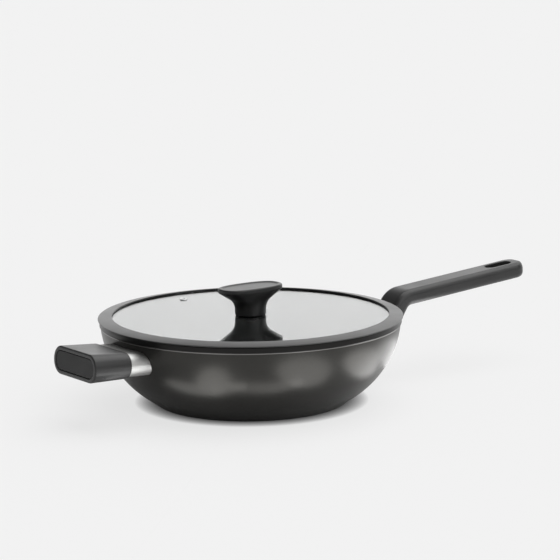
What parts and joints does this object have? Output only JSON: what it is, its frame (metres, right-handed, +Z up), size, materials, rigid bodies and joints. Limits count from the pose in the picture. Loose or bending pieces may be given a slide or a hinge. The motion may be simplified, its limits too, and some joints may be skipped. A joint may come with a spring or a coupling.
{
  "type": "wok with lid",
  "caption": "Flat-based wok with a curved wall, a flat glass lid in a silicone ring, an oval-topped knob, a long cranked handle and a short side grip; the lid lifts off",
  "frame": {"origin": "middle of the flat base, on the surface that the wok stands on", "axes": "+Z up, +X along the long handle away from the bowl, +Y to the left of the long handle"},
  "size_m": [0.5603, 0.305, 0.1161],
  "materials": {
    "coated_aluminium": "dark grey coating with a fine grain, satin",
    "disc_steel": "spun, with shallow ring grooves",
    "ferrule_steel": "satin brushed along its length",
    "stud_aluminium": "plain turned",
    "handle_plastic": "dark grey, fine matte grain",
    "cap_plastic": "dark grey, matte",
    "screw_steel": "plain",
    "clear_glass": "clear, polished",
    "grey_silicone": "dark grey, matte with a slight sheen",
    "eyelet_steel": "polished",
    "knob_plastic": "dark grey, fine matte grain",
    "black_rubber": "black, matte",
    "insert_brass": "plain turned"
  },
  "bodies": {
    "wok": {"wok_body": "coated_aluminium", "induction_disc": "disc_steel", "side_ferrule": "ferrule_steel", "side_stud_left": "stud_aluminium", "side_stud_right": "stud_aluminium", "side_grip": "handle_plastic", "side_end_cap": "cap_plastic", "side_screw_left": "screw_steel", "side_screw_right": "screw_steel", "handle_ferrule": "ferrule_steel", "handle_stud": "stud_aluminium", "long_handle": "handle_plastic", "handle_screw": "screw_steel"},
    "lid": {"lid_glass": "clear_glass", "lid_seal": "grey_silicone", "vent_eyelet": "eyelet_steel", "knob": "knob_plastic", "knob_gasket": "black_rubber", "knob_insert": "insert_brass", "glass_bush": "black_rubber", "knob_washer": "screw_steel", "knob_screw": "screw_steel"}
  },
  "joints": [
    {"name": "lid_lift", "type": "slide", "parent": "wok", "child": "lid", "axis": [0, 0, 1], "range_m": [0, 0.15]}
  ]
}
